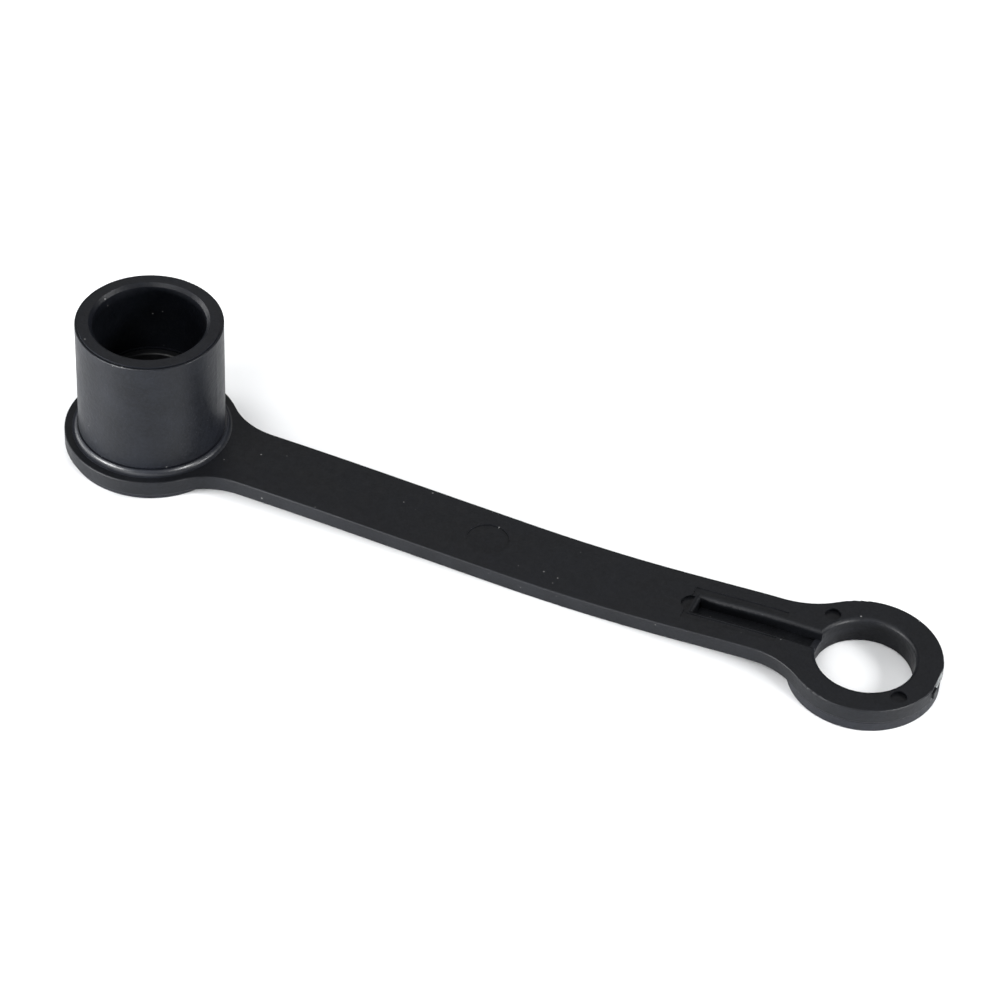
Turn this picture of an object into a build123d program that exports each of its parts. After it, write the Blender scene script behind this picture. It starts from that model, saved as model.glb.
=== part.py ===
from build123d import *
import math
import os

# String winder: a flat crank with a turning hollow handle at one end and a ring at the other.
# +Z is up and +X runs along the crank, from the handle to the ring.
# The origin is the middle of the object's footprint, on the surface that it lies on.

# Driving dimensions, in millimetres.
crank_length = 103.6  # handle axis to ring axis
arm_thickness = 2.3
arm_width_at_handle = 10.9
arm_width_at_ring = 10.6
blend_radius_at_handle = 10.0  # where the strap widens into the flange
blend_radius_at_ring = 11.0  # where it widens into the ring
arm_edge_radius = 0.2

flange_radius = 12.0
ring_radius = 10.2
ring_hole_radius = 6.55
tip_flat_depth = 0.12  # flat across the ring's tip, before the gate is cut off
gate_flat_depth = 0.3  # deeper flat, where the moulding gate was cut off
gate_stub_width = 1.2
gate_stub_height = 0.9
gate_stub_offset = 1.6  # along Y, from the crank's centre plane

handle_top_radius = 10.0
handle_base_radius = 10.05
handle_height = 18.5  # flange face to handle rim
socket_radius = 7.7
socket_depth = 11.0  # rim to bush head
socket_chamfer = 0.45
rim_step_width = 0.35
rim_step_depth = 0.22
rim_edge_radius = 0.12

washer_thickness = 0.8
washer_top_radius = 10.25
washer_flare_radius = 0.7
washer_lip = 0.05

bush_bore_radius = 6.2
bush_tube_radius = 6.9
bush_head_radius = 7.3
bush_head_thickness = 1.2
bush_recess = 0.2  # the tube stops short of the surface that the object lies on
small_chamfer = 0.15

base_collar_height = 1.0
base_collar_radius = 11.5
ring_collar_height = 1.6
ring_collar_radius = 10.05
spigot_radius = 7.4
spigot_height = 0.8

running_gap = 0.05
head_clearance = 0.1

groove_width = 2.8
groove_depth = 1.85
groove_length = 23.4  # end wall to ring axis
groove_edge_radius = 0.6
groove_lip_width = 0.65
recess_width = 6.1
recess_length = 13.0
recess_lead = 1.2  # how far the recess starts before the groove's end wall
recess_depth = 0.12
crescent_radius = 1.5
crescent_depth = 0.4
mark_radius = 2.9
mark_from_handle = 50.3
mark_depth = 0.18
ring_mark_radius = 1.1
ring_mark_depth = 0.5
ring_mark_pitch_radius = 8.3
ring_mark_angle = 140.0

# Places worked out from the driving dimensions.
handle_x = -(crank_length + ring_radius - flange_radius) / 2
ring_x = handle_x + crank_length
flange_top = base_collar_height + arm_thickness
ring_top = ring_collar_height + arm_thickness
handle_top = flange_top + handle_height
handle_bottom = flange_top + washer_thickness + running_gap
bush_head_top = handle_top - socket_depth
bush_head_bottom = bush_head_top - bush_head_thickness
seat_floor = bush_head_bottom - running_gap
seat_radius = bush_head_radius + head_clearance
bearing_radius = bush_tube_radius + running_gap
groove_end_x = ring_x - groove_length
gate_face_x = ring_x + ring_radius - gate_flat_depth
handle_axis = Axis((handle_x, 0, 0), (0, 0, 1))
ring_axis = Axis((ring_x, 0, 0), (0, 0, 1))
handle_section = Plane((handle_x, 0, 0), x_dir=(1, 0, 0), z_dir=(0, -1, 0))
ring_section = Plane((ring_x, 0, 0), x_dir=(1, 0, 0), z_dir=(0, -1, 0))
far = 200.0  # longer than any cut needs

# The strap sags between its two feet, and almost touches the surface nearer to the ring.
level_run_at_handle = 13.0
level_run_at_ring = 10.4
bend_at_handle = 9.0  # tangent length of the bend beside the level run
bend_at_ring = 3.0
bend_at_lowest = 12.0
lowest_from_handle = 66.0
lowest_vertex_height = 2.08


def strap_line(drop):
    """The strap's upper line in the XZ plane, lowered by drop, as corners and their radii."""
    first = handle_x + level_run_at_handle + bend_at_handle
    last = ring_x - level_run_at_ring - bend_at_ring
    lowest = handle_x + lowest_from_handle
    corners = [
        (handle_x - 2 * flange_radius, flange_top - drop),
        (first, flange_top - drop),
        (lowest, lowest_vertex_height - drop),
        (last, ring_top - drop),
        (ring_x + 2 * ring_radius, ring_top - drop),
    ]
    fall = math.atan2(flange_top - lowest_vertex_height, lowest - first)
    rise = math.atan2(ring_top - lowest_vertex_height, last - lowest)
    radii = [
        bend_at_handle / math.tan(fall / 2),
        bend_at_lowest / math.tan((fall + rise) / 2),
        bend_at_ring / math.tan(rise / 2),
    ]
    return corners, radii


def strap_band(upper_drop, lower_drop):
    """Face in the XZ plane between two lines that run parallel to the strap's upper line."""
    upper_corners, upper_radii = strap_line(upper_drop)
    lower_corners, lower_radii = strap_line(lower_drop)
    with BuildSketch(Plane.XZ) as band:
        with BuildLine():
            upper = FilletPolyline(*upper_corners, radius=upper_radii)
            lower = FilletPolyline(*lower_corners, radius=lower_radii)
            Line(upper @ 0, lower @ 0)
            Line(upper @ 1, lower @ 1)
        make_face()
    return band.sketch


def strap_pocket(plan, depth):
    """Cutter for a pocket with the outline of plan and a floor that follows the strap's top."""
    with BuildPart() as pocket:
        extrude(plan, amount=2 * ring_top)
        extrude(strap_band(-ring_top, depth), amount=far, both=True, mode=Mode.INTERSECT)
    return pocket.part


def round_plan(radius, x, y):
    """Circle on the XY plane."""
    with BuildSketch() as plan:
        with Locations((x, y)):
            Circle(radius)
    return plan.sketch


def long_plan(length, width, start):
    """Rectangle on the XY plane that runs from start along +X."""
    with BuildSketch() as plan:
        with Locations((start, 0)):
            Rectangle(length, width, align=(Align.MIN, Align.CENTER))
    return plan.sketch


def side_corners(sketch):
    """Corners beside the crank's centre plane, from the handle to the ring."""
    return sketch.vertices().filter_by(lambda v: abs(v.Y) > 1.0).sort_by(Axis.X)


def border_edges(faces):
    """Edges that only one of the faces has, so the outline of a run of faces."""
    return [edge for edge in faces.edges() if sum(edge in face.edges() for face in faces) == 1]


def level_faces(part, side):
    """Faces that look up (side 1) or down (side -1), flat or gently curved."""
    return part.faces().filter_by(lambda face: side * face.normal_at().Z > 0.9)


def is_groove_rim(edge):
    """True for an edge along the groove's mouth, not one down its walls or round its floor."""
    upright = abs((edge % 0.5).Z) > 0.9
    return edge.center().Z > ring_top - groove_depth / 2 and not upright


def save(part, label):
    """Label a finished piece and write its STEP file."""
    part.label = label
    export_step(part, f"parts/{label}.step")


os.makedirs("parts", exist_ok=True)

# Crank arm: outline of flange, strap and ring, cut to the sagging band.
strap_corners = [
    (handle_x, arm_width_at_handle / 2),
    (ring_x, arm_width_at_ring / 2),
    (ring_x, -arm_width_at_ring / 2),
    (handle_x, -arm_width_at_handle / 2),
]
ring_mark_x = ring_mark_pitch_radius * math.cos(math.radians(ring_mark_angle))
ring_mark_y = ring_mark_pitch_radius * math.sin(math.radians(ring_mark_angle))
with BuildPart() as crank_arm:
    with BuildSketch() as outline:
        with Locations((handle_x, 0)):
            Circle(flange_radius)
        with Locations((ring_x, 0)):
            Circle(ring_radius)
        with BuildLine():
            Polyline(*strap_corners, close=True)
        make_face()
        fillet(side_corners(outline)[-2:], radius=blend_radius_at_ring)
        fillet(side_corners(outline)[:2], radius=blend_radius_at_handle)
    extrude(amount=ring_top)
    extrude(strap_band(0, arm_thickness), amount=far, both=True, mode=Mode.INTERSECT)
    extrude(long_plan(far, far, ring_x + ring_radius - tip_flat_depth), amount=far, mode=Mode.SUBTRACT)
    fillet(border_edges(level_faces(crank_arm, 1)), radius=arm_edge_radius)
    fillet(border_edges(level_faces(crank_arm, -1)), radius=arm_edge_radius)
    # Flat and stub of the gate; the stub ends where the full circle would.
    extrude(long_plan(far, far, gate_face_x), amount=far, mode=Mode.SUBTRACT)
    stub_align = (Align.MIN, Align.CENTER, Align.CENTER)
    with Locations((gate_face_x - gate_flat_depth, -gate_stub_offset, ring_top - arm_thickness / 2)):
        Box(2 * gate_flat_depth, gate_stub_width, gate_stub_height, align=stub_align)
    # Round openings: the bush's seat, the ring's hole and the counterbore for its collar.
    extrude(round_plan(bush_tube_radius, handle_x, 0), amount=far, mode=Mode.SUBTRACT)
    extrude(round_plan(ring_hole_radius, ring_x, 0), amount=far, mode=Mode.SUBTRACT)
    extrude(
        round_plan(spigot_radius, ring_x, 0),
        amount=ring_collar_height + spigot_height,
        mode=Mode.SUBTRACT,
    )
    # Groove that opens into the ring's hole, with a rounded lip, a shallow recess outside the lip
    # and a crescent at the end wall.
    add(strap_pocket(long_plan(groove_length, groove_width, groove_end_x), groove_depth), mode=Mode.SUBTRACT)
    fillet(crank_arm.edges(Select.LAST).filter_by(is_groove_rim), radius=groove_edge_radius)
    lip_plan = long_plan(far, groove_width + 2 * groove_lip_width, groove_end_x - groove_lip_width)
    recess_plan = long_plan(recess_length, recess_width, groove_end_x - recess_lead) - lip_plan
    add(strap_pocket(recess_plan, recess_depth), mode=Mode.SUBTRACT)
    crescent_plan = round_plan(crescent_radius, groove_end_x - groove_lip_width, 0) - lip_plan
    add(strap_pocket(crescent_plan, crescent_depth), mode=Mode.SUBTRACT)
    # Round marks: one in mid-strap and two across the ring.
    add(strap_pocket(round_plan(mark_radius, handle_x + mark_from_handle, 0), mark_depth), mode=Mode.SUBTRACT)
    for side in (-1, 1):
        mark_plan = round_plan(ring_mark_radius, ring_x + side * ring_mark_x, side * ring_mark_y)
        add(strap_pocket(mark_plan, ring_mark_depth), mode=Mode.SUBTRACT)
save(crank_arm.part, "crank_arm")

# Handle sleeve: the hollow grip, with a shouldered floor that the bush's head keeps down.
with BuildPart() as handle_sleeve:
    with BuildSketch(handle_section) as sleeve_profile:
        with BuildLine():
            Polyline(
                (bearing_radius, handle_bottom),
                (handle_base_radius, handle_bottom),
                (handle_top_radius, handle_top - rim_step_depth),
                (handle_top_radius - rim_step_width, handle_top - rim_step_depth),
                (handle_top_radius - rim_step_width, handle_top),
                (socket_radius + socket_chamfer, handle_top),
                (socket_radius, handle_top - socket_chamfer),
                (socket_radius, bush_head_top),
                (seat_radius, bush_head_top),
                (seat_radius, seat_floor),
                (bearing_radius, seat_floor),
                close=True,
            )
        make_face()
        fillet(sleeve_profile.vertices().sort_by(Axis.X)[-2:], radius=rim_edge_radius)
    revolve(axis=handle_axis)
save(handle_sleeve.part, "handle_sleeve")

# Pivot bush: the hollow headed pivot, pressed through the flange and the base collar.
with BuildPart() as pivot_bush:
    with BuildSketch(handle_section) as bush_profile:
        with BuildLine():
            Polyline(
                (bush_bore_radius, bush_recess),
                (bush_tube_radius, bush_recess),
                (bush_tube_radius, bush_head_bottom),
                (bush_head_radius, bush_head_bottom),
                (bush_head_radius, bush_head_top),
                (bush_bore_radius, bush_head_top),
                close=True,
            )
        make_face()
        chamfer(bush_profile.vertices().group_by(Axis.Y)[-1], length=small_chamfer)
    revolve(axis=handle_axis)
save(pivot_bush.part, "pivot_bush")

# Thrust washer: the flared ring that the handle's lower end runs on.
flare_centre = (washer_top_radius + washer_flare_radius, flange_top + washer_lip + washer_flare_radius)
with BuildPart() as thrust_washer:
    with BuildSketch(handle_section):
        with BuildLine():
            flare = CenterArc(flare_centre, washer_flare_radius, start_angle=180, arc_size=90)
            Polyline(
                flare @ 1,
                (flare_centre[0], flange_top),
                (bearing_radius, flange_top),
                (bearing_radius, flange_top + washer_thickness),
                (washer_top_radius, flange_top + washer_thickness),
                flare @ 0,
            )
        make_face()
    revolve(axis=handle_axis)
save(thrust_washer.part, "thrust_washer")

# Base collar: the thin foot under the flange, pressed onto the bush's lower end.
with BuildPart() as base_collar:
    with BuildSketch(handle_section) as base_profile:
        with BuildLine():
            Polyline(
                (bush_tube_radius, 0),
                (base_collar_radius, 0),
                (base_collar_radius, base_collar_height),
                (bush_tube_radius, base_collar_height),
                close=True,
            )
        make_face()
        chamfer(base_profile.vertices().group_by(Axis.Y)[0], length=small_chamfer)
        chamfer(base_profile.vertices().group_by(Axis.X)[-1].sort_by(Axis.Y)[-1], length=small_chamfer)
    revolve(axis=handle_axis)
save(base_collar.part, "base_collar")

# Ring collar: the foot under the ring, with a spigot pressed up into the ring's counterbore.
with BuildPart() as ring_collar:
    with BuildSketch(ring_section) as collar_profile:
        with BuildLine():
            Polyline(
                (ring_hole_radius, 0),
                (ring_collar_radius, 0),
                (ring_collar_radius, ring_collar_height),
                (spigot_radius, ring_collar_height),
                (spigot_radius, ring_collar_height + spigot_height),
                (ring_hole_radius, ring_collar_height + spigot_height),
                close=True,
            )
        make_face()
        chamfer(collar_profile.vertices().group_by(Axis.Y)[0], length=small_chamfer)
        chamfer(collar_profile.vertices().group_by(Axis.X)[-1].sort_by(Axis.Y)[-1], length=small_chamfer)
    revolve(axis=ring_axis)
save(ring_collar.part, "ring_collar")
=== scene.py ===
import math

import bmesh
import bpy
from mathutils import Matrix, Vector


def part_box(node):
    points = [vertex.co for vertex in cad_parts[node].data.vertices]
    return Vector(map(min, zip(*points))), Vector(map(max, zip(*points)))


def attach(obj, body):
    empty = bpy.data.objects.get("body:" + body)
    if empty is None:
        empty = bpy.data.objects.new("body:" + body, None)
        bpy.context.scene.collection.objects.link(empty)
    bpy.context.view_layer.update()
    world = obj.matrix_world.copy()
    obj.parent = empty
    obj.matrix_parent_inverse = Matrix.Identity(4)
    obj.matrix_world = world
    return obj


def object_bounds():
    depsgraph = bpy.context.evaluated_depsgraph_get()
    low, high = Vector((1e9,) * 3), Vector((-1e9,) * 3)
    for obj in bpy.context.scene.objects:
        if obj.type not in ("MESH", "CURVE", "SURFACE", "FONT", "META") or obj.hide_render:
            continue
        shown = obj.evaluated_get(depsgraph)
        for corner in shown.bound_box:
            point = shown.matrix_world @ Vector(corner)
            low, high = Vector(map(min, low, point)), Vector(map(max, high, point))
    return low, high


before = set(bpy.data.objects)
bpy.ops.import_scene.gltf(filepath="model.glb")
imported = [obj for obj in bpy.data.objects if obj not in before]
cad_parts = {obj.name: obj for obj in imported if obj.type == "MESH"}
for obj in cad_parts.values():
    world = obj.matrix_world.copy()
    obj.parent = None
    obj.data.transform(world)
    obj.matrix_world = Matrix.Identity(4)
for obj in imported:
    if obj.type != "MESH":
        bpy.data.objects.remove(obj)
cad_low, cad_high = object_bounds()

MM = 0.001
scene = bpy.context.scene

# Ragged flash beside the gate's stub, on the flat at the ring's tip.
GATE_FLAT = 0.3 * MM  # from the flat to the end of the gate's stub
FLASH_START = -0.7 * MM  # along Y
FLASH_END = 2.2 * MM
FLASH_FOOT = 1.9 * MM  # along Z
FLASH_TOP = 3.55 * MM
FLASH_RAG = 0.3 * MM  # how uneven the top edge is
FLASH_FACE = 0.02 * MM  # how far the sheet stands off the flat
FLASH_SWELL = 0.14 * MM  # how much further it stands off in the middle
FLASH_ROOT = 0.1 * MM  # how far it reaches back into the arm
FLASH_ROWS = 7
FLASH_COLUMNS = 12

# Cells of the textures per metre.
CLOUD_SCALE = 180.0
GRAIN_SCALE = 2600.0
COARSE_GRAIN_SCALE = 1500.0
GLOSS_SCALE = 900.0
DUST_SCALE = 620.0
DUST_PATCH_SCALE = 260.0

DUST_SIZE = 0.085
DUST_TONE = (0.13, 0.13, 0.13)
LIGHTER_TINT = 2.2
COARSE_GRAIN_DEPTH = 0.03 * MM
FINE_GRAIN_DEPTH = 0.025 * MM
PLASTIC_IOR = 1.45

# Darkest and palest tone of the flash and of the floor; the flash's tones are painted light glowing
# through the thin sheet.
FLASH_GLOW_DARK = (0.02, 0.022, 0.022)
FLASH_GLOW_PALE = (0.11, 0.12, 0.12)
FLOOR_DARK = (0.84, 0.85, 0.86)
FLOOR_PALE = (0.87, 0.88, 0.89)
FLOOR_HALF_SIZE = 1.2
FLOOR_DROP = 0.02 * MM

WORLD_TONE = (0.97, 0.985, 1.0, 1.0)
WORLD_STRENGTH = 0.02

# ---------------------------------------------------------------- camera

CAMERA_AZIMUTH = math.radians(21.19)
CAMERA_ELEVATION = math.radians(42.43)
CAMERA_ROLL = math.radians(3.31)
CAMERA_DISTANCE = 490.3 * MM
CAMERA_LENS = 130.9
LOOK_AT = Vector((-1.9 * MM, 6.95 * MM, 3.3 * MM))


def make_camera():
    """Camera at the reference angle; roll turns the picture about its middle."""
    data = bpy.data.cameras.new("camera")
    data.lens = CAMERA_LENS
    data.sensor_width = 36.0
    data.clip_start = 0.01
    data.clip_end = 20.0
    camera = bpy.data.objects.new("camera", data)
    scene.collection.objects.link(camera)
    flat = math.cos(CAMERA_ELEVATION)
    back = Vector((
        math.sin(CAMERA_AZIMUTH) * flat,
        -math.cos(CAMERA_AZIMUTH) * flat,
        math.sin(CAMERA_ELEVATION),
    ))
    turn = (-back).to_track_quat("-Z", "Y").to_matrix() @ Matrix.Rotation(CAMERA_ROLL, 3, "Z")
    camera.rotation_mode = "QUATERNION"
    camera.rotation_quaternion = turn.to_quaternion()
    camera.location = LOOK_AT + back * CAMERA_DISTANCE
    scene.camera = camera


# ---------------------------------------------------------------- materials


class Graph:
    """Short names for building a material's nodes."""

    def __init__(self, name):
        self.material = bpy.data.materials.new(name)
        self.material.use_nodes = True
        self.tree = self.material.node_tree
        self.shader = self.tree.nodes["Principled BSDF"]
        self.place = self.tree.nodes.new("ShaderNodeTexCoord").outputs["Object"]

    def link(self, source, target):
        self.tree.links.new(source, target)

    def noise(self, per_metre, detail=3.0, roughness=0.55):
        node = self.tree.nodes.new("ShaderNodeTexNoise")
        node.inputs["Scale"].default_value = per_metre
        node.inputs["Detail"].default_value = detail
        node.inputs["Roughness"].default_value = roughness
        self.link(self.place, node.inputs["Vector"])
        return node.outputs["Fac"]

    def specks(self, per_metre, size):
        """1 inside small round specks, 0 elsewhere; size is a part of the cell."""
        node = self.tree.nodes.new("ShaderNodeTexVoronoi")
        node.inputs["Scale"].default_value = per_metre
        node.inputs["Randomness"].default_value = 1.0
        self.link(self.place, node.inputs["Vector"])
        return self.ramp(node.outputs["Distance"], size, size * 0.6)

    def ramp(self, source, start, end, low=0.0, high=1.0):
        node = self.tree.nodes.new("ShaderNodeMapRange")
        node.inputs["From Min"].default_value = start
        node.inputs["From Max"].default_value = end
        node.inputs["To Min"].default_value = low
        node.inputs["To Max"].default_value = high
        self.link(source, node.inputs["Value"])
        return node.outputs["Result"]

    def math(self, operation, first, second):
        node = self.tree.nodes.new("ShaderNodeMath")
        node.operation = operation
        for socket, value in zip(node.inputs, (first, second)):
            if isinstance(value, float):
                socket.default_value = value
            else:
                self.link(value, socket)
        return node.outputs["Value"]

    def mix(self, factor, dark, light):
        node = self.tree.nodes.new("ShaderNodeMix")
        node.data_type = "RGBA"
        self.link(factor, node.inputs["Factor"])
        for socket, value in ((node.inputs["A"], dark), (node.inputs["B"], light)):
            if isinstance(value, tuple):
                socket.default_value = (*value, 1.0)
            else:
                self.link(value, socket)
        return node.outputs["Result"]

    def bump(self, height, strength, depth, under=None):
        node = self.tree.nodes.new("ShaderNodeBump")
        node.inputs["Strength"].default_value = strength
        node.inputs["Distance"].default_value = depth
        self.link(height, node.inputs["Height"])
        if under is not None:
            self.link(under, node.inputs["Normal"])
        return node.outputs["Normal"]


def moulded_plastic(name, tint, rough_low, rough_high, grain, gloss_level=0.24):
    """Black moulded plastic: fine spark-eroded grain, soft cloudy gloss, rare dust specks."""
    g = Graph(name)
    cloud = g.noise(CLOUD_SCALE, detail=4.0)
    fine = g.noise(GRAIN_SCALE, detail=2.0)
    patches = g.ramp(g.noise(DUST_PATCH_SCALE), 0.55, 0.6)
    dust = g.math("MULTIPLY", g.specks(DUST_SCALE, DUST_SIZE), patches)
    lighter = tuple(channel * LIGHTER_TINT for channel in tint)
    body = g.mix(g.ramp(g.math("ADD", cloud, fine), 0.7, 1.3), tint, lighter)
    g.link(g.mix(dust, body, DUST_TONE), g.shader.inputs["Base Color"])
    gloss = g.ramp(g.math("ADD", cloud, g.noise(GLOSS_SCALE)), 0.75, 1.25, rough_low, rough_high)
    g.link(gloss, g.shader.inputs["Roughness"])
    coarse = g.bump(g.noise(COARSE_GRAIN_SCALE, detail=1.0), grain, COARSE_GRAIN_DEPTH)
    g.link(g.bump(fine, grain, FINE_GRAIN_DEPTH, coarse), g.shader.inputs["Normal"])
    g.shader.inputs["IOR"].default_value = PLASTIC_IOR
    g.shader.inputs["Specular IOR Level"].default_value = gloss_level
    return g.material


def assign(node, material):
    """Puts one material in every slot of a CAD node."""
    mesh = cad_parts[node].data
    if not mesh.materials:
        mesh.materials.append(material)
    for index in range(len(mesh.materials)):
        mesh.materials[index] = material


def dress_nodes():
    arm = moulded_plastic("arm_black", (0.0023, 0.0026, 0.0034), 0.42, 0.54, 0.9, 0.2)
    handle = moulded_plastic("handle_black", (0.002, 0.0024, 0.0035), 0.38, 0.46, 0.9, 0.22)
    # The collars get a lighter tint than the arm: painted sheen for the lighter lower band of the
    # ring.
    collar_with_painted_sheen = moulded_plastic("collar_black_painted_sheen", (0.0042, 0.0046, 0.006), 0.4, 0.52, 0.9, 0.2)
    bush = moulded_plastic("bush_black", (0.003, 0.0032, 0.0036), 0.34, 0.44, 0.4)
    washer = moulded_plastic("washer_black", (0.0028, 0.0033, 0.0048), 0.33, 0.42, 0.5, 0.42)
    assign("crank_arm", arm)
    assign("handle_sleeve", handle)
    assign("thrust_washer", washer)
    assign("pivot_bush", bush)
    assign("base_collar", collar_with_painted_sheen)
    assign("ring_collar", collar_with_painted_sheen)


# ---------------------------------------------------------------- detail pieces


def flash_plastic():
    """Thin moulding flash: paler than the body, and uneven; the paleness is painted light glowing
    through the thin sheet.
    """
    g = Graph("flash_painted_glow")
    # Painted glow: the pale tones stand in for light coming through the thin flash.
    tone = g.mix(g.ramp(g.noise(1400.0), 0.4, 0.6), FLASH_GLOW_DARK, FLASH_GLOW_PALE)
    g.link(tone, g.shader.inputs["Base Color"])
    g.link(g.ramp(g.noise(2200.0), 0.35, 0.65, 0.3, 0.6), g.shader.inputs["Roughness"])
    g.link(g.bump(g.noise(3000.0), 0.7, 0.03 * MM), g.shader.inputs["Normal"])
    return g.material


def make_gate_flash():
    """Ragged sheet left on the flat at the ring's tip, beside the gate's stub."""
    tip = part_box("crank_arm")[1].x
    face = tip - GATE_FLAT
    mesh = bpy.data.meshes.new("gate_flash")
    bm = bmesh.new()
    front, back = [], []
    for row in range(FLASH_ROWS + 1):
        up = row / FLASH_ROWS
        for column in range(FLASH_COLUMNS + 1):
            along = column / FLASH_COLUMNS
            ragged = 0.5 + 0.5 * math.sin(9.0 * along + 4.0 * up) * math.cos(5.0 * along - 7.0 * up)
            swell = math.sin(math.pi * along) * math.sin(math.pi * up)
            y = FLASH_START + (FLASH_END - FLASH_START) * along
            z = FLASH_FOOT + (FLASH_TOP - FLASH_FOOT) * up + FLASH_RAG * (ragged - 0.5) * up
            x = face + FLASH_FACE + FLASH_SWELL * swell * ragged
            front.append(bm.verts.new((x, y, z)))
            back.append(bm.verts.new((face - FLASH_ROOT, y, z)))
    width = FLASH_COLUMNS + 1
    for row in range(FLASH_ROWS):
        for column in range(FLASH_COLUMNS):
            a = row * width + column
            b, c, d = a + 1, a + width + 1, a + width
            bm.faces.new((front[a], front[b], front[c], front[d]))
            bm.faces.new((back[d], back[c], back[b], back[a]))
    border = list(range(width))
    border += [row * width + FLASH_COLUMNS for row in range(1, FLASH_ROWS + 1)]
    border += [FLASH_ROWS * width + column for column in range(FLASH_COLUMNS - 1, -1, -1)]
    border += [row * width for row in range(FLASH_ROWS - 1, 0, -1)]
    for first, second in zip(border, border[1:] + border[:1]):
        bm.faces.new((front[second], front[first], back[first], back[second]))
    bmesh.ops.recalc_face_normals(bm, faces=bm.faces)
    bm.to_mesh(mesh)
    bm.free()
    mesh.shade_smooth()
    flash = bpy.data.objects.new("gate_flash", mesh)
    mesh.materials.append(flash_plastic())
    scene.collection.objects.link(flash)
    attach(flash, "crank")


# ---------------------------------------------------------------- stage and light


def make_floor():
    """White surface just under the object."""
    size = FLOOR_HALF_SIZE
    mesh = bpy.data.meshes.new("floor")
    corners = [(-size, -size, 0.0), (size, -size, 0.0), (size, size, 0.0), (-size, size, 0.0)]
    mesh.from_pydata(corners, [], [(0, 1, 2, 3)])
    floor = bpy.data.objects.new("floor", mesh)
    floor.location.z = cad_low.z - FLOOR_DROP
    scene.collection.objects.link(floor)
    g = Graph("floor_white")
    tone = g.mix(g.noise(14.0), FLOOR_DARK, FLOOR_PALE)
    g.link(tone, g.shader.inputs["Base Color"])
    g.shader.inputs["Roughness"].default_value = 0.7
    mesh.materials.append(g.material)


def area_light(name, place, target, width, height, power):
    data = bpy.data.lights.new(name, "AREA")
    data.shape = "RECTANGLE"
    data.size = width
    data.size_y = height
    data.energy = power
    lamp = bpy.data.objects.new(name, data)
    lamp.location = Vector(place)
    aim = (Vector(target) - Vector(place)).to_track_quat("-Z", "Y")
    lamp.rotation_mode = "QUATERNION"
    lamp.rotation_quaternion = aim
    scene.collection.objects.link(lamp)


def make_light():
    """Even studio light; each area light has a place and a target in metres, a size and a power."""
    world = bpy.data.worlds.new("studio")
    world.use_nodes = True
    background = world.node_tree.nodes["Background"]
    background.inputs["Color"].default_value = WORLD_TONE
    background.inputs["Strength"].default_value = WORLD_STRENGTH
    scene.world = world
    middle = (0.0, 0.0, 0.0)
    handle = (-0.05, 0.0, 0.01)
    area_light("top", (0.0, -0.1, 1.0), middle, 0.9, 0.9, 3.8)
    area_light("front_top", (-0.15, -0.62, 0.7), middle, 0.5, 0.4, 4.4)
    area_light("back_top", (-0.25, 0.7, 0.75), middle, 0.6, 0.5, 1.5)
    area_light("left_low", (-0.25, -0.29, 0.03), handle, 0.2, 0.055, 4.6)
    area_light("left_side", (-0.5, -0.05, 0.12), handle, 0.3, 0.2, 1.9)
    area_light("right_low", (0.38, -0.15, 0.05), handle, 0.08, 0.06, 3.2)
    area_light("right_back", (0.6, 0.16, 0.4), middle, 0.25, 0.2, 4.6)
    scene.view_settings.view_transform = "Standard"


make_camera()
dress_nodes()
make_gate_flash()
make_floor()
make_light()
